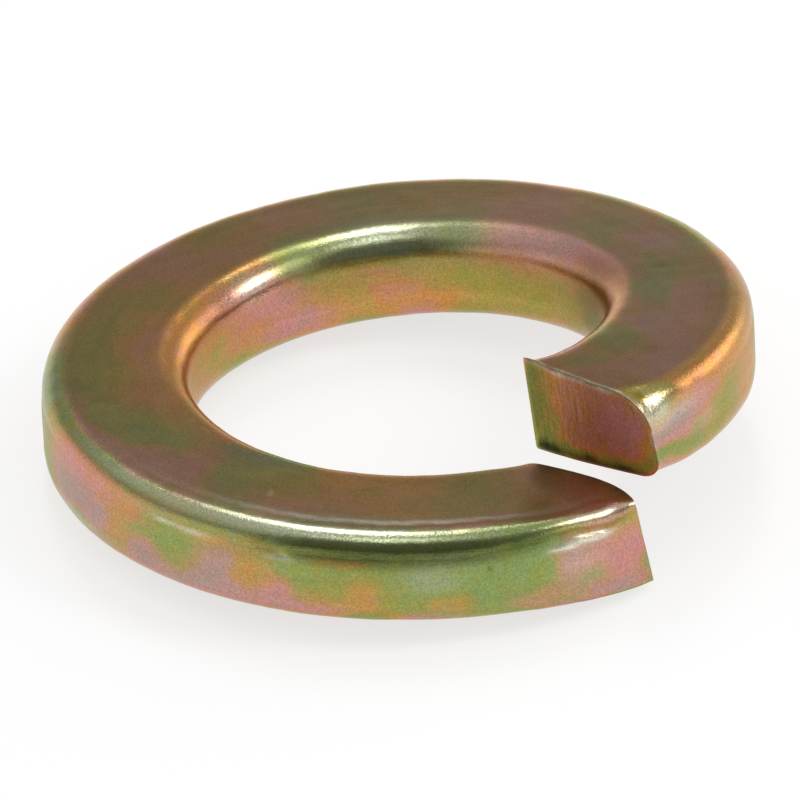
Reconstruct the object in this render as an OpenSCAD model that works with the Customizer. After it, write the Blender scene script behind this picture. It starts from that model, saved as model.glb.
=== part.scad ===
// Spring lock washer: one turn of keystone wire, coiled left-handed and sheared off at a slant.
// The bore's axis is +Z, and the lowest point of the coil lies in the plane z = 0.

/* [Coil] */
// Diameter of the bore
bore_d = 8.4; // [7.6:0.1:10]
// Width of the wire, from the bore to the outer wall
wire_w = 3; // [2.4:0.1:4]
// Thickness of the wire at the middle of its width
wire_t = 2; // [1.6:0.05:2.2]
// How much thicker the wire is at the bore than at the outer wall
keystone = 0.16; // [0:0.02:0.4]
// Height that the wire gains from its lower end to its upper end
rise = 2.16; // [2:0.02:3.2]
// Direction of the split about the axis, in degrees from +X
split_at = -47.5; // [-180:0.5:180]
// Clear angle between the two ends at the outer wall, in degrees
split_gap = 6.3; // [4.6:0.1:16]

/* [Rounded edges] */
// Radius of the upper edge of the outer wall
top_outer_r = 0.44; // [0.2:0.02:0.7]
// Radius of the lower edge of the outer wall
bottom_outer_r = 0.4; // [0.1:0.02:0.6]
// Radius of the upper edge of the bore
top_inner_r = 0.4; // [0.2:0.02:0.7]
// Radius of the lower edge of the bore
bottom_inner_r = 0.66; // [0.2:0.02:0.8]

/* [Lower end] */
// How far the top of the cut stands back from its foot, in degrees of turn
lower_lean = 3.4; // [0:0.1:6]
// How far the cut stands back at the bore from its outer edge, in degrees of turn
lower_skew = 9; // [6:0.1:12]
// How far the cut's middle bulges past the straight line between those two, in degrees of turn
lower_bulge = 5; // [0:0.1:6]
// Radius that the upper outer edge sharpens to at the cut
lower_tip_r = 0.08; // [0.06:0.02:0.7]
// Radius that the lower outer edge sharpens to at the cut
lower_foot_r = 0.06; // [0.06:0.02:0.6]
// Length over which both edges change, in degrees of turn
lower_fade = 34; // [8:1:60]
// Radius that the upper edge of the bore widens to at the cut
lower_bore_r = 0.56; // [0.2:0.02:0.9]
// Length over which that edge changes, in degrees of turn
lower_bore_fade = 12; // [6:1:60]

/* [Upper end] */
// How far the foot of the cut stands back from its top, in degrees of turn
upper_lean = 3.1; // [0:0.1:6]
// How far the cut stands back at its outer edge from the bore, in degrees of turn
upper_skew = 5.8; // [1:0.1:8]
// Radius that the upper outer edge widens to at the cut
upper_tip_r = 0.76; // [0.1:0.02:1]
// Radius that the lower outer edge widens to at the cut
upper_heel_r = 0.58; // [0.1:0.02:0.7]
// Radius that the upper edge of the bore sharpens to at the cut
upper_bore_r = 0.3; // [0.1:0.02:0.7]
// Radius that the lower edge of the bore sharpens to at the cut
upper_foot_r = 0.22; // [0.1:0.02:0.8]
// Length over which the four edges change, in degrees of turn
upper_fade = 9.5; // [6:0.5:40]

/* [Hidden] */
bore_r = bore_d / 2;
outer_r = bore_r + wire_w;
// Angle of wire between the lower end's foot and the upper end's top, by way of the gap at the outer wall
coil_turn = 360 - split_gap + lower_lean + upper_lean + upper_skew;
// Half of the wire's height along the bore and along the outer wall
bore_h = (wire_t + keystone / 2) / 2;
wall_h = (wire_t - keystone / 2) / 2;
// The swept wire stands this far through each wall, which a true cylinder then trims
trim = 0.01;
// Share of a wall's height that its two edges may take up
edge_share = 0.94;
// Facets in each rounded edge and across each flat, and rings along the wire and along each end
edge_steps = 6;
flat_steps = 6;
body_rings = 108;
end_rings = 6;
// Stretch at each end that has the closer rings, in degrees of turn
end_turn = 12;
// Room above and below the coil for the trimming cylinders
spare = 1;

// An upper edge's radius, held within the wall that it shares with the edge below it
function within(r, below, half) = min(r, edge_share * 2 * half - below);

// 0 at the cut and 1 past the stretch where the edges change, with no kink between
function fade(turn, length) = let (u = min(max(turn / length, 0), 1)) u * u * (3 - 2 * u);

function mix(a, b, share) = a + (b - a) * share;

// Radius of each edge at a place along the wire
function bottom_outer(turn) =
    let (low = mix(lower_foot_r, bottom_outer_r, fade(turn, lower_fade)))
    mix(upper_heel_r, low, fade(coil_turn - turn, upper_fade));
function bottom_inner(turn) = mix(upper_foot_r, bottom_inner_r, fade(coil_turn - turn, upper_fade));
function top_outer(turn) =
    let (low = mix(lower_tip_r, top_outer_r, fade(turn, lower_fade)))
    within(mix(upper_tip_r, low, fade(coil_turn - turn, upper_fade)), bottom_outer(turn), wall_h);
function top_inner(turn) =
    let (low = mix(lower_bore_r, top_inner_r, fade(turn, lower_bore_fade)))
    within(mix(upper_bore_r, low, fade(coil_turn - turn, upper_fade)), bottom_inner(turn), bore_h);

// A quarter round about [x, z], from the given direction
function quarter(x, z, r, from) =
    [for (i = [0:edge_steps]) let (a = from + 90 * i / edge_steps) [x + r * cos(a), z + r * sin(a)]];

// The points between the ends of a flat
function across(a, b) = [for (i = [1:flat_steps - 1]) mix(a, b, i / flat_steps)];

// The wire's section as [distance from the axis, height above the wire's middle]
function section(turn) =
    let (
        left = bore_r - trim,
        right = outer_r + trim,
        foot_r = bottom_outer(turn),
        head_r = top_outer(turn),
        lip_r = top_inner(turn),
        toe_r = bottom_inner(turn),
        toe = quarter(left + toe_r, toe_r - bore_h, toe_r, 180),
        heel = quarter(right - foot_r, foot_r - wall_h, foot_r, 270),
        head = quarter(right - head_r, wall_h - head_r, head_r, 0),
        lip = quarter(left + lip_r, bore_h - lip_r, lip_r, 90)
    )
    concat(toe, across(toe[edge_steps], heel[0]), heel, head, across(head[edge_steps], lip[0]), lip);

// Where each cut crosses a point of the section, in degrees of turn from the lower tip
function lower_cut(p) =
    let (u = (outer_r - p[0]) / wire_w)
    lower_lean * (p[1] / wire_t + 0.5) + lower_skew * u - lower_bulge * 4 * u * (1 - u);
function upper_cut(p) =
    coil_turn - upper_lean * (0.5 - p[1] / wire_t) - upper_skew * (p[0] - bore_r) / wire_w;

// Places of the rings as shares of the wire's length, closer together at the two ends
end_share = end_turn / coil_turn;
shares = concat(
    [for (i = [0:end_rings - 1]) end_share * i / end_rings],
    [for (i = [0:body_rings]) mix(end_share, 1 - end_share, i / body_rings)],
    [for (i = [1:end_rings]) 1 - end_share + end_share * i / end_rings]
);

// Height of the wire's middle at the lower tip, which puts the coil's lowest point at z = 0
first = section(0);
foot = -min([for (p = first) p[1] + rise * lower_cut(p) / coil_turn]);

// The wire climbs as it runs clockwise, seen from above
function placed(p, turn) =
    let (a = split_at - turn)
    [p[0] * cos(a), p[0] * sin(a), foot + p[1] + rise * turn / coil_turn];

function ring(share) =
    [for (p = section(share * coil_turn)) placed(p, mix(lower_cut(p), upper_cut(p), share))];

module wire() {
    rings = [for (s = shares) ring(s)];
    size = len(rings[0]);
    last = len(rings) - 1;
    top = last * size;
    sides = [
        for (k = [0:last - 1], i = [0:size - 1])
        let (
            a = k * size + i,
            b = k * size + (i + 1) % size
        )
        each [[a, b, b + size], [a, b + size, a + size]]
    ];
    // Each cut face is a strip from the bore to the outer wall, between the section's lower and upper halves
    strip = [
        for (i = [0:size / 2 - 2])
        let (j = size - 1 - i)
        each [[i, i + 1, j - 1], [i, j - 1, j]]
    ];
    lower_end = [for (t = strip) [t[0], t[2], t[1]]];
    upper_end = [for (t = strip) [top + t[0], top + t[1], top + t[2]]];
    polyhedron(points = [for (r = rings) each r], faces = concat(sides, lower_end, upper_end));
}

// The coiled wire, with its outer wall and its bore trimmed to true cylinders
module lock_washer() {
    height = foot + rise + wire_t + spare;
    color("#8f7d52")
    difference() {
        intersection() {
            wire();
            translate([0, 0, -spare])
            cylinder(h = height + spare, r = outer_r, $fn = 180);
        }
        translate([0, 0, -2 * spare])
        cylinder(h = height + 4 * spare, r = bore_r, $fn = 180);
    }
}

lock_washer();
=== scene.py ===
"""Spring lock washer, plated yellow: a left-handed turn of keystone wire, resting on a pale floor."""
import math

import bpy
import numpy as np
from mathutils import Matrix, Vector


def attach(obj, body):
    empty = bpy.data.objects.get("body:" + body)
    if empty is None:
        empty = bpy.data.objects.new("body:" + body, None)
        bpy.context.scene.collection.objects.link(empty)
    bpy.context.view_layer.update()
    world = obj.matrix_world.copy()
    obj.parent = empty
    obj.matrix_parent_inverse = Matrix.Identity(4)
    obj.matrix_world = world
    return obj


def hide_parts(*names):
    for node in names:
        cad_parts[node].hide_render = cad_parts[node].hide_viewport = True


MM = 0.001

# The coil, in millimetres and degrees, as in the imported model
BORE_R = 4.2
WIRE_W = 3.0
WIRE_T = 2.0
KEYSTONE = 0.16
RISE = 2.16
SPLIT_AT = -47.5
SPLIT_GAP = 6.3
TOP_OUTER_R = 0.44
BOTTOM_OUTER_R = 0.4
TOP_INNER_R = 0.4
BOTTOM_INNER_R = 0.66
LOWER_LEAN = 3.4
LOWER_SKEW = 9.0
LOWER_BULGE = 5.0
LOWER_TIP_R = 0.08
LOWER_FOOT_R = 0.06
LOWER_FADE = 34.0
LOWER_BORE_R = 0.56
LOWER_BORE_FADE = 12.0
UPPER_LEAN = 3.1
UPPER_SKEW = 5.8
UPPER_TIP_R = 0.76
UPPER_HEEL_R = 0.58
UPPER_BORE_R = 0.3
UPPER_FOOT_R = 0.22
UPPER_FADE = 9.5
OUTER_R = BORE_R + WIRE_W
COIL_TURN = 360 - SPLIT_GAP + LOWER_LEAN + UPPER_LEAN + UPPER_SKEW
BORE_H = (WIRE_T + KEYSTONE / 2) / 2
WALL_H = (WIRE_T - KEYSTONE / 2) / 2

# How softly the edges blend into the flats, the turn by each cut where they don't, and the stretches
# over which the blend comes and goes
EDGE_BLEND = 0.04
CRISP_TURN = 3
BLEND_COMES = 20
BLEND_GOES = 10

# Radius that wear adds to the bore's upper edge, the turns where it begins and ends, and the stretches
# over which it comes and goes
LIP_WEAR = 0.2
LIP_WEAR_FROM = 100
LIP_WEAR_TO = 335
LIP_WEAR_COMES = 45
LIP_WEAR_GOES = 40

# The shears left the upper cut's corners crisp over a short way, the heel's only in part, and bevelled the
# lower tip's upper edge
SHEARED_R = 0.06
SHEARED_TURN = 1.2
SHEARED_HEEL = 0.2
BEVEL = 0.22
BEVEL_AT = 6.0
BEVEL_TURN = 5.5

# The outer wall leans in under its upper edge, and less so past the washer's front
LEAN_IN = 0.06
LEAN_REACH = 0.34
LEAN_LAST_PLACE = 3.3
LEAN_LAST_BLEND = 0.3
LEAN_COMES = 5
LEAN_GOES = 20
LEAN_EASES_AT = 55
LEAN_EASES_OVER = 30
LEAN_EASES_BY = 0.6

# The burr and the rim by the upper cut are painted pale: painted highlights along these edges
# Height of the burr along the top of the upper cut, how far it reaches back from the cut, and its places
BURR = 0.06
BURR_REACH = 0.07
BURR_PLACES = (2.75, 4.9)
# How far the painted highlight on the rim down the side of the upper cut reaches back from it, and its
# places
GLINT_RIM_REACH = 0.05
GLINT_RIM_PLACES = (0.8, 2.8)

# Heights and lengths of the wide and the narrow unevenness of the surface, and the turn by each cut over
# which it and the dents come down to a share
WIDE_RELIEF = 0.008
WIDE_WAVE = 1.5
NARROW_RELIEF = 0.003
NARROW_WAVE = 0.45
CALM_TURN = 4
CALM_SHARE = 0.3

# Points in each rounded edge, the bottom, the outer wall, the top and the bore, rings along the wire,
# and rings between the rim and the middle of each cut face
ARC_STEPS = 11
BOTTOM_STEPS = 14
WALL_STEPS = 32
TOP_STEPS = 26
BORE_STEPS = 10
BODY_RINGS = 600
CUT_RINGS = 16
# Faces that meet at more than this angle, in degrees, have a hard edge between them
HARD_ANGLE = 38

# The camera: height of its line of sight over the coil's plane, roll, distance, and shift of the aim
CAMERA_ELEVATION = 26.62
CAMERA_ROLL = -3.128
CAMERA_DISTANCE = 336.82
AIM_RIGHT = 0.074
AIM_UP = -1.55
SENSOR = 36.0
FOCAL_PIXELS = 16693.0
FRAME_PIXELS = 800.0
# Nearest and farthest that it sees, in metres
CLIP = (0.01, 5.0)

# The washer rests on its lower tip, so the floor leans against its plane
FLOOR_LEAN = 5.2
FLOOR_RISES_TO = 97.5
FLOOR_RADIUS = 600.0
FLOOR_SIDES = 96
FLOOR_SHADE = 0.35
FLOOR_LIFT = 0.70

# The dark cards in front: distance, angles and colour of the standing one, reach and colour of the lying one
CARD_AWAY = 90
CARD_TOP_ANGLE = 61
CARD_HALF_ANGLE = 40
CARD_COLOR = (0.22, 0.22, 0.20)
CARD_NEAR = 24
CARD_HALF_WIDTH = 50
CARD_LIFT = 0.2
LYING_COLOR = (0.2, 0.2, 0.18)

# Distance of the lamps in metres, and each one's name, azimuth, elevation, the angles that it spans across
# and up, and its radiance
LAMP_AWAY = 0.5
LAMPS = (
    ("overhead", 91, 64, 9, 24, 6.0),
    ("overhead_front", 272, 72, 12, 16, 2.0),
    ("right_side", -15, 42, 18, 22, 4.6),
    ("right_back", 36, 19, 34, 24, 1.5),
)

# The room's light by the sine of the height over the horizon
WORLD_LEVELS = (
    (0.00, (1.0, 1.0, 1.0)),
    (0.16, (0.92, 0.92, 0.92)),
    (0.33, (0.58, 0.58, 0.58)),
    (0.44, (0.40, 0.40, 0.40)),
    (0.55, (0.44, 0.44, 0.44)),
    (0.70, (0.62, 0.62, 0.62)),
    (1.00, (0.62, 0.62, 0.62)),
)


def smooth_fade(turn, length):
    """0 at a cut and 1 past the stretch of the given length."""
    u = np.clip(turn / length, 0, 1)
    return u * u * (3 - 2 * u)


def mix(a, b, share):
    return a + (b - a) * share


def strip(place, start, end, blend):
    """1 between two places round the section, falling off over the blend."""
    return np.clip((place - start) / blend + 0.5, 0, 1) * np.clip((end - place) / blend + 0.5, 0, 1)


def waves(seed, points, length):
    """Smooth noise from -1 to 1 at points in millimetres, as a sum of waves about `length` long."""
    rng = np.random.default_rng(seed)
    total = np.zeros(points.shape[:-1])
    count = 14
    for _ in range(count):
        way = rng.normal(size=3)
        way *= 2 * math.pi / (length * rng.uniform(0.7, 1.6) * np.linalg.norm(way))
        total += np.sin(points @ way + rng.uniform(0, 2 * math.pi))
    return np.clip(total / math.sqrt(count), -1.6, 1.6) / 1.6


def soften(points, reach):
    """Rounds a closed outline gently, over the given reach along it."""
    if reach < 0.005:
        return points
    step = 0.02
    closed = np.concatenate([points, points[:1]])
    along = np.concatenate([[0], np.cumsum(np.linalg.norm(np.diff(closed, axis=0), axis=1))])
    count = int(along[-1] / step)
    at = along[-1] * np.arange(count) / count
    dense = np.stack([np.interp(at, along, closed[:, k]) for k in (0, 1)], -1)
    width = int(3 * reach / step) + 1
    weights = np.exp(-0.5 * (np.arange(-width, width + 1) * step / reach) ** 2)
    weights /= weights.sum()
    soft = sum(w * np.roll(dense, -k, axis=0) for k, w in zip(range(-width, width + 1), weights))
    shift = [np.interp(along[:-1], at, soft[:, k] - dense[:, k], period=along[-1]) for k in (0, 1)]
    return points + np.stack(shift, -1)


def section(turn):
    """The wire's section as [radius, height over its middle], with each point's place round the section.

    Places run 0 to 1 over the lower outer edge, 1 to 2 up the outer wall, 2 to 3 over the upper outer
    edge, 3 to 4 across the top, 4 to 5 over the upper bore edge, 5 to 6 down the bore, 6 to 7 over the
    lower bore edge and 7 to 8 across the bottom.
    """
    sheared = max(0.0, 1 - (COIL_TURN - turn) / SHEARED_TURN)
    bevel = BEVEL * math.exp(-((turn - BEVEL_AT) / BEVEL_TURN) ** 2)
    near_low = smooth_fade(turn, LOWER_FADE)
    near_up = smooth_fade(COIL_TURN - turn, UPPER_FADE)
    foot_r = mix(UPPER_HEEL_R, mix(LOWER_FOOT_R, BOTTOM_OUTER_R, near_low), near_up)
    head_r = mix(UPPER_TIP_R, mix(LOWER_TIP_R, TOP_OUTER_R, near_low), near_up) + bevel
    lip_r = mix(UPPER_BORE_R, mix(LOWER_BORE_R, TOP_INNER_R, smooth_fade(turn, LOWER_BORE_FADE)), near_up)
    toe_r = mix(UPPER_FOOT_R, BOTTOM_INNER_R, near_up)
    lip_r, toe_r = mix(lip_r, SHEARED_R, sheared), mix(toe_r, SHEARED_R, sheared)
    foot_r = mix(foot_r, SHEARED_R, sheared * SHEARED_HEEL)
    wear = LIP_WEAR * smooth_fade(turn - LIP_WEAR_FROM, LIP_WEAR_COMES)
    lip_r = lip_r + wear * smooth_fade(LIP_WEAR_TO - turn, LIP_WEAR_GOES)
    points, places = [], []

    def arc(x, z, r, start, place):
        for i in range(ARC_STEPS + 1):
            a = math.radians(start + 90 * i / ARC_STEPS)
            points.append((x + r * math.cos(a), z + r * math.sin(a)))
            places.append(place + i / ARC_STEPS)

    def line(end, steps, place):
        start = points[-1]
        for i in range(1, steps):
            points.append((mix(start[0], end[0], i / steps), mix(start[1], end[1], i / steps)))
            places.append(place + i / steps)

    arc(OUTER_R - foot_r, foot_r - WALL_H, foot_r, 270, 0)
    line((OUTER_R, WALL_H - head_r), WALL_STEPS, 1)
    arc(OUTER_R - head_r, WALL_H - head_r, head_r, 0, 2)
    line((BORE_R + lip_r, BORE_H), TOP_STEPS, 3)
    arc(BORE_R + lip_r, BORE_H - lip_r, lip_r, 90, 4)
    line((BORE_R, toe_r - BORE_H), BORE_STEPS, 5)
    arc(BORE_R + toe_r, toe_r - BORE_H, toe_r, 180, 6)
    line(points[0], BOTTOM_STEPS, 7)
    points, places = np.array(points), np.array(places)
    eased = 1 - LEAN_EASES_BY * smooth_fade(turn - LEAN_EASES_AT, LEAN_EASES_OVER)
    lean = LEAN_IN * smooth_fade(turn, LEAN_COMES) * eased * smooth_fade(COIL_TURN - turn, LEAN_GOES)
    start = WALL_H - head_r - LEAN_REACH
    last = np.clip((LEAN_LAST_PLACE - places) / LEAN_LAST_BLEND, 0, 1)
    inward = np.clip((points[:, 1] - start) / LEAN_REACH, 0, 1) ** 2 * last
    points[:, 0] -= lean * inward * (places > 1)
    reach = EDGE_BLEND * smooth_fade(turn - CRISP_TURN, BLEND_COMES)
    reach = reach * smooth_fade(COIL_TURN - CRISP_TURN - turn, BLEND_GOES)
    return soften(points, reach), places


def lower_cut(p):
    """The turn at which the lower cut crosses each point of the section."""
    u = (OUTER_R - p[:, 0]) / WIRE_W
    return LOWER_LEAN * (p[:, 1] / WIRE_T + 0.5) + LOWER_SKEW * u - LOWER_BULGE * 4 * u * (1 - u)


def upper_cut(p):
    """The turn at which the upper cut crosses each point of the section."""
    return COIL_TURN - UPPER_LEAN * (0.5 - p[:, 1] / WIRE_T) - UPPER_SKEW * (p[:, 0] - BORE_R) / WIRE_W


def ring_shares():
    """Places of the rings along the wire, very close at the cuts, where the edges turn."""
    near = np.array([
        0, 0.0001, 0.0002, 0.00035, 0.0005, 0.0008, 0.0012, 0.0017, 0.0024, 0.0032, 0.0042, 0.0054, 0.0068,
    ])
    first = 0.0084
    body = np.linspace(first, 1 - first, BODY_RINGS)
    return np.concatenate([near, body, 1 - near[::-1]])


def placed(p, turn):
    """Points of the section, carried along the coil to the given turns."""
    first = section(0)[0]
    foot = -(first[:, 1] + RISE * lower_cut(first) / COIL_TURN).min()
    a = np.radians(SPLIT_AT - turn)
    return np.stack([p[:, 0] * np.cos(a), p[:, 0] * np.sin(a), foot + p[:, 1] + RISE * turn / COIL_TURN], -1)


def washer_rings():
    """The rings with dents and burr, each point's turn and place, and the painted highlight on the burr and
    the rim by the upper cut.
    """
    rings, turns, places = [], [], []
    for share in ring_shares():
        p, place = section(share * COIL_TURN)
        turn = mix(lower_cut(p), upper_cut(p), share)
        rings.append(placed(p, turn))
        turns.append(turn)
        places.append(place)
    rings, turns, places = np.array(rings), np.array(turns), np.array(places)
    along = np.gradient(rings, axis=0)
    round_it = np.roll(rings, -1, axis=1) - np.roll(rings, 1, axis=1)
    normal = np.cross(round_it, along)
    normal /= np.linalg.norm(normal, axis=-1, keepdims=True) + 1e-9
    outward = ((rings - rings.mean(axis=1, keepdims=True)) * normal).sum(-1).mean()
    relief = WIDE_RELIEF * waves(21, rings, WIDE_WAVE) + NARROW_RELIEF * waves(22, rings, NARROW_WAVE)
    for at, level, long, wide, depth in DENTS:
        relief = relief - depth * np.exp(-(((turns - at) / long) ** 2 + ((places - level) / wide) ** 2))
    away = np.minimum(smooth_fade(turns, CALM_TURN), smooth_fade(COIL_TURN - turns, CALM_TURN))
    relief = relief * (CALM_SHARE + (1 - CALM_SHARE) * away)
    rings = rings + (math.copysign(1, outward) * relief)[..., None] * normal
    back = (1 - ring_shares()) * math.radians(COIL_TURN) * (BORE_R + WIRE_W / 2)
    # Painted highlights along the burr and down the rim of the upper cut
    lip = strip(places, *BURR_PLACES, 0.3) * (0.62 + 0.38 * waves(23, rings, 0.4))
    burr = np.exp(-(back / BURR_REACH) ** 2)[:, None] * lip
    rings[..., 2] += BURR * burr
    side = strip(places, *GLINT_RIM_PLACES, 0.3) * np.clip(0.12 + 0.3 * waves(24, rings, 0.3), 0, 1)
    rim_glint = np.exp(-(back / GLINT_RIM_REACH) ** 2)[:, None] * side
    return rings, turns, places, burr + rim_glint


# Stains of the passivate as (turn, place round the section, half sizes along both, film), the film running
# from 0, grey green, over green, gold, orange and pink to 1, mauve
STAINS = (
    # Outer wall, from the lower end
    (6, 1.5, 4.5, 0.3, 0.77), (5, 1.92, 4, 0.09, 0.32), (0.2, 1.4, 1.3, 0.7, 0.08), (8, 1.06, 4, 0.13, 0.9),
    (12, 1.25, 3.2, 0.16, 0.06), (17, 1.0, 4, 0.12, 0.12), (15, 1.45, 2.6, 0.3, 0.93),
    (20, 1.02, 6, 0.16, 0.9), (22.5, 1.5, 4.5, 0.35, 0.16), (31, 1.45, 5.5, 0.6, 0.14),
    (36, 1.02, 1.6, 0.12, 0.5), (40, 1.62, 3.5, 0.2, 0.04), (41, 1.2, 4, 0.25, 0.18),
    (43, 1.55, 2.4, 0.35, 0.24), (50, 1.2, 4, 0.24, 0.57), (56.5, 1.55, 4.8, 0.38, 0.17),
    (58, 1.15, 1.6, 0.2, 0.4), (53, 1.85, 4, 0.08, 0.56), (61.5, 1.4, 1.8, 0.35, 0.18),
    (68, 1.45, 2.5, 0.4, 0.42), (64, 1.12, 2.2, 0.2, 0.8), (76, 1.33, 3, 0.33, 0.93),
    (66, 0.9, 8, 0.2, 0.85), (84.5, 1.6, 6, 0.36, 0.17), (77, 1.92, 3, 0.08, 0.5),
    (89, 1.15, 2.2, 0.2, 0.88), (95.5, 1.4, 2.6, 0.55, 0.46), (107, 1.45, 8, 0.45, 0.92),
    (107, 0.95, 9, 0.1, 0.0), (108, 2.1, 11, 0.3, 0.7), (92, 1.85, 4, 0.12, 0.62),
    (337, 1.5, 5.5, 0.4, 0.32), (344, 1.85, 3, 0.25, 0.74), (352, 1.12, 6, 0.2, 0.15),
    (350, 1.5, 5, 0.14, 0.78), (353, 1.75, 5, 0.2, 1.0), (347, 1.45, 2, 0.1, 0.1), (323, 1.5, 6, 0.5, 0.52),
    (310, 1.4, 8, 0.5, 0.2),
    # Outer wall round the back
    (130, 1.5, 7, 0.5, 0.2), (145, 1.4, 8, 0.4, 0.6), (160, 1.6, 7, 0.4, 0.9), (176, 1.3, 8, 0.4, 0.15),
    (192, 1.5, 7, 0.4, 0.5), (208, 1.5, 8, 0.4, 0.75), (224, 1.4, 7, 0.4, 0.25), (240, 1.6, 8, 0.4, 0.95),
    (256, 1.4, 8, 0.4, 0.5), (272, 1.6, 8, 0.4, 0.12), (290, 1.4, 8, 0.4, 0.7),
    # Upper outer edge
    (45, 2.5, 28, 0.6, 0.14), (102, 2.7, 9, 0.2, 0.1), (128, 2.5, 9, 0.5, 0.04), (121, 2.3, 3, 0.3, 0.48),
    (2, 2.5, 2.5, 0.5, 0.42), (9, 2.5, 4, 0.5, 0.8), (15, 2.5, 3, 0.4, 0.3), (332, 2.5, 20, 0.5, 0.55),
    (346, 2.85, 12, 0.12, 0.45), (356, 2.6, 3.5, 0.4, 0.3),
    # Top
    (8, 3.3, 6, 0.3, 0.72), (7, 3.75, 8, 0.3, 0.72), (15, 3.55, 5, 0.25, 0.62), (22, 3.65, 9, 0.25, 0.34),
    (28, 3.08, 18, 0.1, 0.8), (47, 3.6, 12, 0.3, 0.54), (62, 3.3, 8, 0.2, 0.7), (68, 3.6, 5, 0.2, 0.34),
    (78, 3.6, 5, 0.2, 0.14), (80, 3.92, 7, 0.1, 0.0), (92, 3.25, 6, 0.25, 0.82), (101, 3.68, 5, 0.16, 0.14),
    (107, 3.5, 5, 0.16, 0.12), (113, 3.32, 5, 0.14, 0.14), (110, 3.08, 14, 0.08, 0.84),
    (136, 3.3, 15, 0.22, 0.24), (138, 3.85, 11, 0.12, 0.7), (158, 3.5, 8, 0.3, 0.36),
    (172, 3.3, 7, 0.3, 0.7), (184, 3.7, 8, 0.2, 0.62), (188, 3.2, 8, 0.2, 0.38), (204, 3.4, 9, 0.35, 0.66),
    (216, 3.3, 8, 0.35, 0.32), (229, 3.6, 7, 0.3, 0.5), (240, 3.3, 6, 0.3, 0.4), (253, 3.5, 9, 0.4, 0.68),
    (266, 3.2, 5, 0.2, 0.4), (273, 3.65, 5, 0.22, 0.18), (281, 3.8, 4, 0.12, 0.26),
    (287, 3.42, 5, 0.14, 0.82), (296, 3.6, 5, 0.15, 0.34), (310, 3.72, 9, 0.14, 0.12),
    (303, 3.25, 4, 0.15, 0.42), (317, 3.3, 7, 0.14, 0.74), (327, 3.62, 8, 0.12, 0.8),
    (341, 3.75, 5, 0.1, 0.3), (343, 3.2, 10, 0.14, 0.8), (349, 3.47, 3, 0.1, 0.64),
    (355, 3.75, 3, 0.14, 0.34), (357, 3.4, 4, 0.2, 0.7),
    # Upper edge of the bore
    (112, 4.2, 14, 0.3, 0.5), (146, 4.5, 24, 0.7, 0.55), (172, 4.7, 9, 0.3, 0.72),
    (180, 4.2, 7, 0.15, 0.44), (198, 4.5, 6, 0.5, 0.12), (220, 4.5, 15, 0.7, 0.16),
    (240, 4.4, 6, 0.5, 0.08), (272, 4.5, 22, 0.6, 0.8), (305, 4.6, 14, 0.5, 0.6),
    # Bore
    (154, 5.4, 11, 0.4, 0.4), (176, 5.5, 8, 0.3, 0.64), (192, 5.2, 8, 0.35, 0.8), (206, 5.4, 6, 0.4, 0.44),
    (214, 5.25, 8, 0.2, 0.42), (222, 5.6, 6, 0.22, 0.62), (217, 5.2, 4, 0.1, 0.8), (235, 5.4, 5, 0.4, 0.4),
    (250, 5.4, 12, 0.4, 0.31), (272, 5.4, 9, 0.5, 0.32), (292, 5.5, 9, 0.7, 0.36), (196, 6.0, 9, 0.2, 0.8),
    (214, 6.0, 7, 0.2, 0.48), (232, 6.0, 9, 0.2, 0.56), (258, 6.0, 10, 0.2, 0.36),
)
# Under the stains: the ground's weight against theirs, its film, how far and how widely that swings, and
# patches where it differs on the outer wall, as (turn, half length, change of film, first place)
STAIN_GROUND = 0.09
GROUND_FILM = 0.55
GROUND_SWING = 0.35
GROUND_WAVE = 1.8
GROUND_PATCHES = ((38, 18, -0.3, 1.0), (88, 26, 0.28, 0.8))

# Stains of the cut faces as (share of the width from the bore, share of the height, half sizes, film)
CUT_STAINS = (
    (0.02, 0.6, 0.10, 0.6, 0.2), (0.14, 0.5, 0.09, 0.6, 0.32), (0.45, 0.55, 0.22, 0.4, 0.66),
    (0.75, 0.6, 0.16, 0.35, 0.76), (0.5, 0.08, 0.6, 0.08, 0.2), (0.98, 0.2, 0.08, 0.3, 0.35),
    (0.3, 0.8, 0.15, 0.15, 0.55), (0.85, 0.85, 0.1, 0.15, 0.6),
)
CUT_GROUND = 0.06
CUT_GROUND_FILM = 0.5
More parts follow.
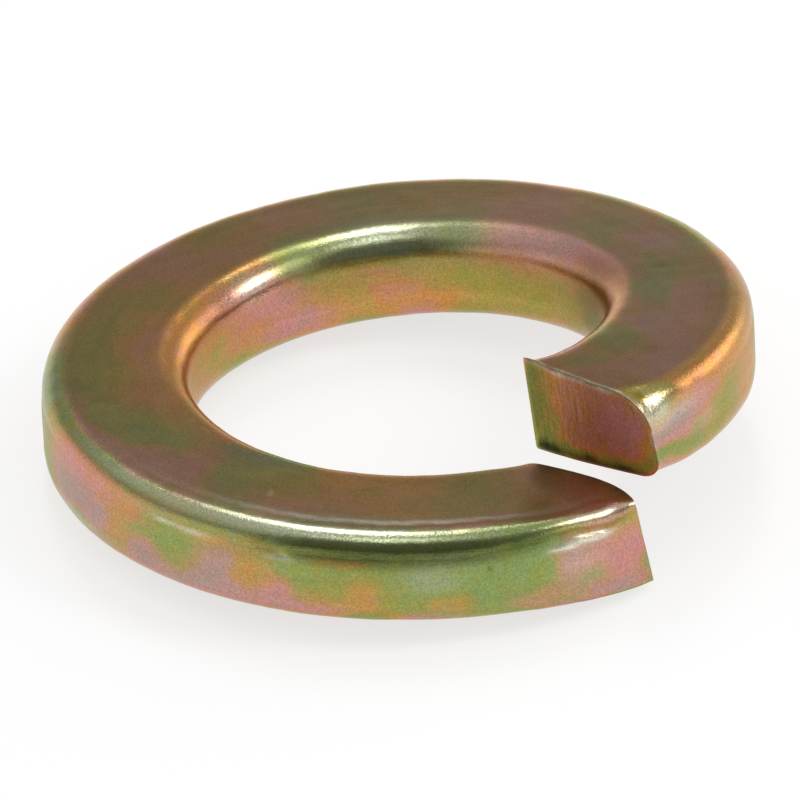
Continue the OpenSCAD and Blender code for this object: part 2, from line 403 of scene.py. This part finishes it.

# Paler and darker marks, in part wear and in part painted highlights, glints and shade, as (turn, place,
# half sizes, tone from -1, dark, to 1, bare and bright)
MARKS_AND_PAINTED_LIGHT = (
    # Upper outer edge: worn pale along the front, paler still where the highlights fall there and by the
    # lower cut, which is painted highlight; a painted glint by the upper cut, and two darker stretches
    (58, 2.75, 24, 0.3, 0.65), (92, 2.7, 16, 0.25, 0.2), (13, 2.6, 5, 0.5, 0.4), (4, 2.6, 4, 0.5, 0.35),
    (128, 2.5, 12, 0.5, -0.12), (357, 2.35, 3, 0.3, 0.7), (312, 2.6, 14, 0.5, -0.3),
    # Outer wall: a painted glint along the ridge by the lower end, scuffs under the edge painted as glints,
    # the dark band under the edge deepened as a painted dark reflection, a dark line at the foot as painted
    # shade, a dark spot and paler patches
    (16.8, 1.8, 2.0, 0.04, 1.0), (13, 1.86, 2.6, 0.04, 1.0), (9.8, 1.91, 1.8, 0.035, 0.9),
    (11, 2.02, 7, 0.06, -0.5), (63.5, 1.86, 2, 0.06, 0.6), (79, 1.97, 3, 0.05, 0.5),
    (84.5, 2.0, 2, 0.05, 0.5), (22, 2.05, 9, 0.07, -0.55), (47, 2.06, 14, 0.1, -0.6),
    (10, 0.66, 8, 0.06, -0.5), (30, 1.7, 0.4, 0.05, -0.7), (107, 0.95, 9, 0.12, 0.25),
    (14, 1.5, 4, 0.25, 0.15), (39, 1.6, 4, 0.3, 0.1), (352, 1.95, 6, 0.2, 0.25), (345, 1.4, 4, 0.2, 0.12),
    # Top: the rolled line inside the outer edge, painted as a pale highlight with painted shade beside it,
    # and a speck
    (46, 3.14, 26, 0.03, 0.8), (45, 3.06, 26, 0.05, -0.25), (70, 3.43, 0.5, 0.04, 0.6),
    # Upper edge of the bore, paled at its highlights as painted highlights and in other patches, with a
    # painted shade line under it; then painted shade at the right end of the bore, two paler spots on the
    # top, and a dark spot between the glints by the upper cut
    (220, 4.3, 13, 0.3, 0.65), (181, 4.6, 7, 0.25, 0.6), (272, 4.4, 14, 0.5, 0.15),
    (250, 4.3, 10, 0.4, 0.2), (232, 4.92, 28, 0.06, -0.15), (218, 4.72, 18, 0.13, 0.35),
    (297, 5.4, 14, 1.3, -0.6), (38, 3.5, 26, 0.45, 0.05), (9, 3.65, 7, 0.4, 0.1),
    (358.7, 2.66, 0.8, 0.12, -0.6),
)
# Duller spots as (turn, place, half sizes, strength)
MATTE = (
    (196, 4.5, 8, 0.9, 0.9), (220, 4.0, 12, 0.3, 0.15), (8, 3.6, 9, 0.6, 1.0), (160, 4.5, 14, 0.9, 0.6),
    (140, 4.5, 14, 0.9, 0.6), (256, 4.5, 14, 0.9, 1.0), (285, 4.5, 18, 0.9, 0.8), (27, 2.5, 6, 0.7, 0.3),
    (110, 2.5, 12, 0.7, 0.4), (325, 2.5, 16, 0.7, 0.5),
)
# Marks of the cut faces as (share of the width from the bore, share of the height, half sizes, tone); the
# pale line along the top edge is a painted highlight
CUT_MARKS = (
    (0.05, 0.5, 0.13, 0.7, -0.3), (0.5, 0.03, 0.6, 0.05, -0.8), (0.12, 0.06, 0.08, 0.06, -0.7),
    (0.45, 0.09, 0.05, 0.05, -0.6), (0.72, 0.07, 0.07, 0.05, -0.6), (0.25, 0.02, 0.02, 0.03, 0.7),
    (0.03, 0.1, 0.02, 0.04, 0.6), (0.5, 0.99, 0.5, 0.03, 0.5), (0.3, 0.97, 0.04, 0.04, 0.6),
    (0.66, 0.97, 0.05, 0.04, 0.6),
)

# Nicks and hollows as (turn, place, half sizes, depth in millimetres), a negative depth standing up
DENTS = (
    (63, 1.92, 0.9, 0.06, 0.02), (82, 1.98, 0.7, 0.06, 0.025), (87, 2.0, 1.1, 0.05, 0.02),
    (36, 1.1, 1.2, 0.12, 0.01), (13, 1.96, 4.5, 0.04, 0.02), (16.8, 1.8, 2.2, 0.04, -0.05),
    (13, 1.86, 2.6, 0.04, -0.045), (9.8, 1.91, 1.8, 0.035, -0.03), (75, 1.6, 1.2, 0.1, 0.01),
    (98, 1.8, 1.0, 0.1, 0.012), (46, 3.07, 30, 0.08, 0.012), (150, 3.5, 1.0, 0.06, 0.008),
    (300, 3.6, 1.4, 0.07, 0.008), (70, 3.43, 0.4, 0.03, 0.01), (358.2, 2.4, 0.5, 0.12, 0.03),
    (356.6, 2.2, 0.5, 0.1, -0.02), (347, 2.2, 1.5, 0.2, 0.02), (353, 1.9, 1.2, 0.15, 0.018),
    (170, 1.5, 1.1, 0.1, 0.015), (262, 1.8, 1.4, 0.1, 0.015),
)

# The film's colours in order, as the passivate thickens
FILM = (
    (0.00, (0.28, 0.33, 0.20)),
    (0.15, (0.25, 0.34, 0.11)),
    (0.30, (0.33, 0.32, 0.06)),
    (0.45, (0.48, 0.31, 0.09)),
    (0.54, (0.62, 0.27, 0.065)),
    (0.62, (0.57, 0.26, 0.13)),
    (0.75, (0.62, 0.26, 0.25)),
    (0.90, (0.43, 0.28, 0.24)),
    (1.00, (0.41, 0.33, 0.28)),
)
# The undertone of the flats, the bare metal where the film is worn off, which also pales the painted
# highlights, and the tint of grazing light
BRONZE = (0.38, 0.23, 0.09)
BARE_AND_HIGHLIGHT = (0.82, 0.84, 0.70)
EDGE_TINT = (0.95, 0.94, 0.86)

# Shares of the stains' own colours in the film's, of the undertone on the flats, and of a full mark, and
# how much darker the flats are
STAIN_SHARE = 0.6
BRONZE_SHARE = 0.38
MARK_SHARE = 0.85
FLAT_DARK = 0.5
# Where the flats' undertone, shade and roughness fade, as (turn, half length, share taken off); by the lower
# cut this is painted light, lightening the top where the upper end's reflection darkens it
FLAT_FADES = ((0, 9, 0.85), (42, 26, 0.16))

# How steeply stains, stains of the cuts, and marks fall off
STAIN_FALL = 0.85
CUT_STAIN_FALL = 1.2
MARK_FALL = 0.9

# Roughness of the rounded edges, and what the flats, walls, cut faces and matte marks add to it
EDGE_ROUGH = 0.15
FLAT_ROUGH = 0.16
WALL_ROUGH = 0.18
CUT_ROUGH = 0.32
MATTE_ROUGH = 0.2

# The noises in the plating as (waves per metre, detail, roughness), and the range of most of their values
CLOUDS = (1500, 3.0, 0.6)
STREAKS = (5000, 3.0, 0.55)
SHEAR_LINES = (9000, 2.0, 0.6)
SPECKS = (22000, 1.0, 0.5)
GRAIN = (30000, 2.0, 0.6)
NOISE_LOW = 0.3
NOISE_HIGH = 0.7
# How far they swing the film, the shade and the roughness
CLOUD_FILM = 0.08
GRAIN_FILM = 0.04
STREAK_FILM = 0.05
SPECK_SHADE = 0.16
STREAK_SHADE = 0.05
CLOUD_ROUGH = 0.03
# How far the streaks' noise moves on in a radian round the axis, in metres: little, so they follow the wire
STREAK_TURN = 0.0004
# How far the shears' noise is flattened upright, which draws it out into lines up the cut faces
SHEAR_STRETCH = 0.12
# Heights of the shears' lines and of the streaks against the grain, and strength and depth of the bump
SHEAR_HEIGHT = 3.0
STREAK_HEIGHT = 0.8
BUMP_STRENGTH = 0.25
BUMP_DEPTH = 0.00002


def film_color(film):
    """The colour of films of the given thickness."""
    stops = [at for at, _ in FILM]
    return np.stack([np.interp(film, stops, [color[k] for _, color in FILM]) for k in range(3)], -1)


def marks_at(a, b, marks):
    """Sums soft marks, each falling off over its half sizes."""
    total = np.zeros(a.shape)
    for at, level, long, wide, tone_and_painted_light in marks:
        total = total + tone_and_painted_light * np.exp(-MARK_FALL * (((a - at) / long) ** 2 + ((b - level) / wide) ** 2))
    return np.clip(total, -1, 1)


def cut_film(points, across, up):
    """The passivate's thickness and colour on the cut faces."""
    across, up = across + 0.05 * waves(17, points, 0.9), up + 0.05 * waves(18, points, 0.7)
    total = np.full(across.shape, CUT_GROUND * CUT_GROUND_FILM)
    weight = np.full(across.shape, CUT_GROUND)
    for at, level, wide, high, film in CUT_STAINS:
        near = np.exp(-CUT_STAIN_FALL * (((across - at) / wide) ** 2 + ((up - level) / high) ** 2))
        total, weight = total + near * film, weight + near
    film = np.clip(total / weight + 0.08 * waves(19, points, 0.3), 0, 1)
    return film, film_color(film)


def film_at(points, turn, place):
    """How thick the passivate is at each point, and its colour, from the stains and a soft unevenness."""
    shift = 1.3 * waves(11, points, 1.6) + 1.1 * waves(12, points, 0.5)
    slide = 0.08 * waves(13, points, 1.4) + 0.06 * waves(14, points, 0.5)
    ground = GROUND_FILM + GROUND_SWING * waves(15, points, GROUND_WAVE)
    for at, long, change, start in GROUND_PATCHES:
        ground = ground + change * np.exp(-((turn - at) / long) ** 2) * strip(place, start, 2, 0.3)
    unevenness = 0.05 * waves(16, points, 0.45)
    total = STAIN_GROUND * ground
    weight = np.full(turn.shape, STAIN_GROUND)
    blend = STAIN_GROUND * film_color(ground)
    for at, level, long, wide, film in STAINS:
        off = ((turn + shift - at) / long) ** 2 + ((place + slide - level) / wide) ** 2
        near = np.exp(-STAIN_FALL * off)
        total = total + near * film
        blend = blend + near[..., None] * film_color(film + unevenness)
        weight = weight + near
    return np.clip(total / weight + unevenness, 0, 1), blend / weight[..., None]


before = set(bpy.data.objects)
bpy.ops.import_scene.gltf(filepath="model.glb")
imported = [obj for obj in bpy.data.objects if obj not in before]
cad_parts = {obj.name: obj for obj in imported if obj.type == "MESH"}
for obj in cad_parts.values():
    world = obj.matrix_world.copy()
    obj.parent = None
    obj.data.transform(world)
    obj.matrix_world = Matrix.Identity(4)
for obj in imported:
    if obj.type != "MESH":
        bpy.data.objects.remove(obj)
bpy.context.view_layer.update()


def build_washer():
    """One closed mesh: the rings, joined by quads, and both cut faces as nested copies of their rims."""
    rings, turns, places, burr_and_rim_glint = washer_rings()
    count, size = rings.shape[:2]
    verts = [rings.reshape(-1, 3)]
    index = np.arange(count * size).reshape(count, size)
    a, b = index[:-1], index[1:]
    quads = np.stack([a, np.roll(a, -1, 1), np.roll(b, -1, 1), b], -1).reshape(-1, 4)
    faces = quads.tolist()
    turn_of = [turns.ravel()]
    place_of = [places.ravel()]
    across_of = [np.zeros(count * size)]
    up_of = [np.zeros(count * size)]
    used = count * size
    middle = np.array([[(BORE_R + OUTER_R) / 2, 0.0]])
    for ring, way, share, cut in ((0, -1, 0, lower_cut), (count - 1, 1, 1, upper_cut)):
        edge = section(share * COIL_TURN)[0]
        outer = index[ring]
        for k in range(1, CUT_RINGS):
            inset = mix(edge, middle, k / CUT_RINGS)
            verts.append(placed(inset, cut(inset)))
            turn_of.append(cut(inset))
            place_of.append(np.full(size, -1.0))
            across_of.append((inset[:, 0] - BORE_R) / WIRE_W)
            up_of.append(inset[:, 1] / WIRE_T + 0.5)
            inner = np.arange(used, used + size)
            used += size
            band = np.stack([outer, inner, np.roll(inner, -1), np.roll(outer, -1)], -1)
            faces += (band if way < 0 else band[:, ::-1]).tolist()
            outer = inner
        verts.append(placed(middle, cut(middle)))
        turn_of.append(cut(middle))
        place_of.append(np.array([-1.0]))
        across_of.append(np.array([0.5]))
        up_of.append(np.array([0.5]))
        tri = np.stack([outer, np.full(size, used), np.roll(outer, -1)], -1)
        faces += (tri if way < 0 else tri[:, ::-1]).tolist()
        used += 1
    mesh = bpy.data.meshes.new("washer_wire")
    mesh.from_pydata((np.concatenate(verts) * MM).tolist(), [], faces)
    mesh.update()
    mesh.polygons.foreach_set("use_smooth", np.ones(len(mesh.polygons), bool))
    mesh.set_sharp_from_angle(angle=math.radians(HARD_ANGLE))
    spots = [np.concatenate(values) for values in (verts, turn_of, place_of, across_of, up_of)]
    dress(mesh, *spots, burr_and_rim_glint.ravel())
    obj = bpy.data.objects.new("washer_wire", mesh)
    bpy.context.scene.collection.objects.link(obj)
    return obj


def dress(mesh, points, turn, place, across, up, burr_and_rim_glint):
    """Stores what the shader reads at each point: film, stain, marks with painted highlights and shade, and
    the kind of surface.
    """
    film, stain = film_at(points, turn, place)
    tone_and_painted_light = marks_at(turn + 0.8 * waves(31, points, 0.7), place + 0.02 * waves(32, points, 0.5), MARKS_AND_PAINTED_LIGHT)
    # The painted highlights on the burr and the rim pale the tone
    tone_and_painted_light[:len(burr_and_rim_glint)] = np.clip(tone_and_painted_light[:len(burr_and_rim_glint)] + 1.2 * burr_and_rim_glint, -1, 1)
    matte = marks_at(turn + 1.5 * waves(33, points, 1.2), place, MATTE)
    on_cut = place < -0.5
    matte[on_cut] = 0
    film[on_cut], stain[on_cut] = cut_film(points[on_cut], across[on_cut], up[on_cut])
    tone_and_painted_light[on_cut] = marks_at(across[on_cut], up[on_cut], CUT_MARKS)
    flat = np.maximum(strip(place, 3, 4, 0.1), strip(place, 7, 8, 0.2))
    # By the lower cut the flats are lightened: painted light where the upper end's reflection darkens the
    # top
    for at, long, share in FLAT_FADES:
        flat = flat * (1 - share * np.exp(-((turn - at) / long) ** 2))
    wall = np.maximum(strip(place, 1, 2, 0.2), strip(place, 5, 6, 0.3))
    cut = on_cut.astype(float)
    values_of = {"film": film, "tone_and_painted_light": tone_and_painted_light, "matte": matte, "flat": flat, "wall": wall, "cut": cut}
    for name, values in values_of.items():
        mesh.attributes.new(name, "FLOAT", "POINT").data.foreach_set("value", values.astype(np.float32))
    stain = np.concatenate([stain, np.ones((len(stain), 1))], -1).astype(np.float32)
    mesh.attributes.new("stain", "FLOAT_COLOR", "POINT").data.foreach_set("color", stain.ravel())


washer = build_washer()
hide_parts("lock_washer")
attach(washer, "root")


class Nodes:
    """Short calls that add and join the nodes of one material or world."""

    def __init__(self, owner):
        owner.use_nodes = True
        self.tree = owner.node_tree

    def add(self, kind, inputs=None, **settings):
        node = self.tree.nodes.new(kind)
        for key, value in settings.items():
            setattr(node, key, value)
        for key, value in (inputs or {}).items():
            if isinstance(value, bpy.types.NodeSocket):
                self.tree.links.new(value, node.inputs[key])
            else:
                node.inputs[key].default_value = value
        return node

    def attribute(self, name):
        return self.add("ShaderNodeAttribute", attribute_name=name).outputs["Fac"]

    def noise(self, vector, scale, detail, rough):
        inputs = {"Vector": vector, "Scale": scale, "Detail": detail, "Roughness": rough}
        return self.add("ShaderNodeTexNoise", inputs).outputs["Fac"]

    def math(self, how, a, b=0.0):
        return self.add("ShaderNodeMath", {0: a, 1: b}, operation=how).outputs[0]

    def times(self, a, b):
        return self.math("MULTIPLY", a, b)

    def swing(self, noise, reach, middle=0.0):
        inputs = {"Value": noise, "From Min": NOISE_LOW, "From Max": NOISE_HIGH}
        inputs.update({"To Min": middle - reach, "To Max": middle + reach})
        return self.add("ShaderNodeMapRange", inputs).outputs["Result"]

    def mix(self, share, a, b, how="MIX"):
        node = self.add("ShaderNodeMix", data_type="RGBA", blend_type=how)
        for key, value in ((0, share), (6, a), (7, b)):
            if isinstance(value, bpy.types.NodeSocket):
                self.tree.links.new(value, node.inputs[key])
            else:
                node.inputs[key].default_value = value
        return node.outputs[2]

    def ramp(self, value, stops):
        node = self.add("ShaderNodeValToRGB", {"Fac": value})
        stops = [(at, (*color, 1)) for at, color in stops]
        elements = node.color_ramp.elements
        while len(elements) < len(stops):
            elements.new(0.5)
        for element, (at, color) in zip(elements, stops):
            element.position = at
            element.color = color
        return node.outputs["Color"]


def passivate():
    """Yellow passivate: the stains' colours with clouds, rolled streaks and grain, over a shiny metal."""
    material = bpy.data.materials.new("yellow_passivate")
    n = Nodes(material)
    bsdf = n.tree.nodes["Principled BSDF"]
    place = n.add("ShaderNodeTexCoord").outputs["Object"]
    film, tone_and_painted_light, matte = n.attribute("film"), n.attribute("tone_and_painted_light"), n.attribute("matte")
    flat, wall, cut = n.attribute("flat"), n.attribute("wall"), n.attribute("cut")

    # The streaks' noise is nearly constant round the axis
    axes = n.add("ShaderNodeSeparateXYZ", {"Vector": place}).outputs
    squares = n.math("ADD", n.times(axes["X"], axes["X"]), n.times(axes["Y"], axes["Y"]))
    radius = n.math("SQRT", squares)
    round_it = n.times(n.math("ARCTAN2", axes["Y"], axes["X"]), STREAK_TURN)
    wire = n.add("ShaderNodeCombineXYZ", {"X": radius, "Y": round_it, "Z": axes["Z"]}).outputs[0]
    streaks = n.noise(wire, *STREAKS)
    clouds = n.noise(place, *CLOUDS)
    grain = n.noise(place, *GRAIN)
    specks = n.noise(place, *SPECKS)

    film = n.math("ADD", film, n.swing(clouds, CLOUD_FILM))
    film = n.math("ADD", film, n.swing(grain, GRAIN_FILM))
    film = n.math("ADD", film, n.times(flat, n.swing(streaks, STREAK_FILM)))
    stain = n.add("ShaderNodeAttribute", attribute_name="stain").outputs["Color"]
    color = n.mix(STAIN_SHARE, n.ramp(film, FILM), stain)
    color = n.mix(n.times(flat, BRONZE_SHARE), color, (*BRONZE, 1))
    # Positive tones pale the colour towards bare metal: wear, and painted highlights and glints
    color = n.mix(n.times(n.math("MAXIMUM", tone_and_painted_light, 0.0), MARK_SHARE), color, (*BARE_AND_HIGHLIGHT, 1))

    # Negative tones darken the colour: dark marks, among them painted shade and painted dark reflections
    dark = n.times(n.math("MAXIMUM", n.times(tone_and_painted_light, -1.0), 0.0), MARK_SHARE)
    shade = n.times(n.swing(specks, SPECK_SHADE, 1.0), n.math("SUBTRACT", 1.0, n.times(flat, FLAT_DARK)))
    shade = n.times(shade, n.swing(streaks, STREAK_SHADE, 1.0))
    shade = n.times(shade, n.math("SUBTRACT", 1.0, dark))
    grey = n.add("ShaderNodeCombineColor", {"Red": shade, "Green": shade, "Blue": shade}).outputs[0]
    n.tree.links.new(n.mix(1.0, color, grey, "MULTIPLY"), bsdf.inputs["Base Color"])
    bsdf.inputs["Metallic"].default_value = 1.0
    bsdf.inputs["Specular Tint"].default_value = (*EDGE_TINT, 1)

    rough = n.math("ADD", EDGE_ROUGH, n.times(flat, FLAT_ROUGH))
    rough = n.math("ADD", rough, n.math("ADD", n.times(wall, WALL_ROUGH), n.times(cut, CUT_ROUGH)))
    rough = n.math("ADD", rough, n.times(matte, MATTE_ROUGH))
    rough = n.math("ADD", rough, n.swing(clouds, CLOUD_ROUGH))
    n.tree.links.new(rough, bsdf.inputs["Roughness"])

    # The shears left upright lines on the cut faces
    stretch = {0: place, 1: (1.0, 1.0, SHEAR_STRETCH)}
    upright = n.add("ShaderNodeVectorMath", stretch, operation="MULTIPLY").outputs[0]
    shear = n.times(n.noise(upright, *SHEAR_LINES), n.times(cut, SHEAR_HEIGHT))
    height = n.math("ADD", n.math("ADD", grain, shear), n.times(streaks, STREAK_HEIGHT))
    bump = n.add("ShaderNodeBump", {"Height": height, "Strength": BUMP_STRENGTH, "Distance": BUMP_DEPTH})
    n.tree.links.new(bump.outputs["Normal"], bsdf.inputs["Normal"])
    return material


washer.data.materials.append(passivate())


def build_floor():
    """A round floor that leans against the washer's plane and touches its lowest point."""
    mesh = bpy.data.meshes.new("floor")
    angles = [2 * math.pi * i / FLOOR_SIDES for i in range(FLOOR_SIDES)]
    ring = [(FLOOR_RADIUS * MM * math.cos(a), FLOOR_RADIUS * MM * math.sin(a), 0) for a in angles]
    mesh.from_pydata(ring, [], [list(range(FLOOR_SIDES))])
    floor = bpy.data.objects.new("floor", mesh)
    bpy.context.scene.collection.objects.link(floor)
    across = math.radians(FLOOR_RISES_TO)
    axis = Vector((math.sin(across), -math.cos(across), 0))
    lean = Matrix.Rotation(math.radians(FLOOR_LEAN), 4, axis)
    low = min((lean.inverted() @ v.co).z for v in washer.data.vertices)
    floor.matrix_world = lean @ Matrix.Translation((0, 0, low))
    return floor


floor = build_floor()


def pale_floor():
    """White paper: it takes the washer's shadow, and is lifted a little for the rays that show it."""
    material = bpy.data.materials.new("pale_floor")
    n = Nodes(material)
    n.tree.nodes.remove(n.tree.nodes["Principled BSDF"])
    paper = n.add("ShaderNodeBsdfDiffuse", {"Color": (FLOOR_SHADE, FLOOR_SHADE, FLOOR_SHADE, 1)}).outputs[0]
    path = n.add("ShaderNodeLightPath").outputs
    mirrored = n.math("MAXIMUM", path["Is Glossy Ray"], path["Is Transmission Ray"])
    strength = n.times(n.math("MAXIMUM", path["Is Camera Ray"], mirrored), FLOOR_LIFT)
    lift = n.add("ShaderNodeEmission", {"Color": (1, 1, 1, 1), "Strength": strength}).outputs[0]
    both = n.add("ShaderNodeAddShader", {0: paper, 1: lift}).outputs[0]
    clear = n.add("ShaderNodeBsdfTransparent").outputs[0]
    under = n.add("ShaderNodeNewGeometry").outputs["Backfacing"]
    seen = n.add("ShaderNodeMixShader", {0: under, 1: both, 2: clear}).outputs[0]
    n.tree.links.new(seen, n.tree.nodes["Material Output"].inputs["Surface"])
    return material


floor.data.materials.append(pale_floor())


def dark_card(name, corners, color):
    """A card that the metal alone sees, and that darkens what its edges mirror."""
    mesh = bpy.data.meshes.new(name)
    mesh.from_pydata([[v * MM for v in c] for c in corners], [], [(0, 1, 2, 3)])
    board = bpy.data.objects.new(name, mesh)
    bpy.context.scene.collection.objects.link(board)
    material = bpy.data.materials.new(name)
    shader = Nodes(material).tree.nodes["Principled BSDF"]
    shader.inputs["Base Color"].default_value = (*color, 1)
    shader.inputs["Roughness"].default_value = 1.0
    mesh.materials.append(material)
    board.visible_camera = board.visible_diffuse = board.visible_shadow = False
    return board


def standing_card():
    """The card that stands in front of the washer, sized by the angles it spans as seen from there."""
    x = math.tan(math.radians(CARD_HALF_ANGLE)) * CARD_AWAY
    top = math.tan(math.radians(CARD_TOP_ANGLE)) * CARD_AWAY
    corners = [(-x, -CARD_AWAY, 0), (x, -CARD_AWAY, 0), (x, -CARD_AWAY, top), (-x, -CARD_AWAY, top)]
    dark_card("front_card", corners, CARD_COLOR)


def lying_card():
    """The card that lies on the floor, from near the washer to the standing card."""
    x, near, lift = CARD_HALF_WIDTH, CARD_NEAR, CARD_LIFT
    corners = [(-x, -CARD_AWAY, lift), (x, -CARD_AWAY, lift), (x, -near, lift), (-x, -near, lift)]
    board = dark_card("floor_card", corners, LYING_COLOR)
    board.matrix_world = floor.matrix_world


standing_card()
lying_card()

scene = bpy.context.scene


def studio():
    """Bright at the horizon and dim above it, the same all round."""
    scene.world = bpy.data.worlds.new("studio")
    n = Nodes(scene.world)
    way = n.add("ShaderNodeTexCoord").outputs["Generated"]
    height = n.add("ShaderNodeSeparateXYZ", {"Vector": way}).outputs["Z"]
    level = n.ramp(height, WORLD_LEVELS)
    n.tree.links.new(level, n.tree.nodes["Background"].inputs["Color"])


studio()


def softbox(name, azimuth, elevation, width, height, radiance):
    """A soft lamp facing the washer, sized by the angles it spans as seen from there."""
    lamp = bpy.data.lights.new(name, "AREA")
    lamp.shape = "RECTANGLE"
    lamp.size = 2 * LAMP_AWAY * math.tan(math.radians(width / 2))
    lamp.size_y = 2 * LAMP_AWAY * math.tan(math.radians(height / 2))
    lamp.energy = radiance * math.pi * lamp.size * lamp.size_y
    obj = bpy.data.objects.new(name, lamp)
    scene.collection.objects.link(obj)
    a, e = math.radians(azimuth), math.radians(elevation)
    way = Vector((math.cos(a) * math.cos(e), math.sin(a) * math.cos(e), math.sin(e)))
    obj.location = way * LAMP_AWAY
    obj.rotation_mode = "QUATERNION"
    obj.rotation_quaternion = way.to_track_quat("Z", "Y")


for lamp in LAMPS:
    softbox(*lamp)


def place_camera():
    """The photo's camera, looking down at the washer from far in front, with a long lens."""
    elevation, roll = math.radians(CAMERA_ELEVATION), math.radians(CAMERA_ROLL)
    forward = Vector((0, math.cos(elevation), -math.sin(elevation)))
    level = Vector((1, 0, 0))
    upright = Vector((0, math.sin(elevation), math.cos(elevation)))
    right = math.cos(roll) * level + math.sin(roll) * upright
    up = -math.sin(roll) * level + math.cos(roll) * upright
    camera_data = bpy.data.cameras.new("camera")
    camera_data.sensor_width = SENSOR
    camera_data.lens = FOCAL_PIXELS / FRAME_PIXELS * SENSOR
    camera_data.clip_start, camera_data.clip_end = CLIP
    camera = bpy.data.objects.new("camera", camera_data)
    scene.collection.objects.link(camera)
    spot = (-AIM_RIGHT * right - AIM_UP * up - CAMERA_DISTANCE * forward) * MM
    pose = Matrix((right, up, -forward)).transposed().to_4x4()
    camera.matrix_world = Matrix.Translation(spot) @ pose
    scene.camera = camera


place_camera()
scene.view_settings.view_transform = "Standard"
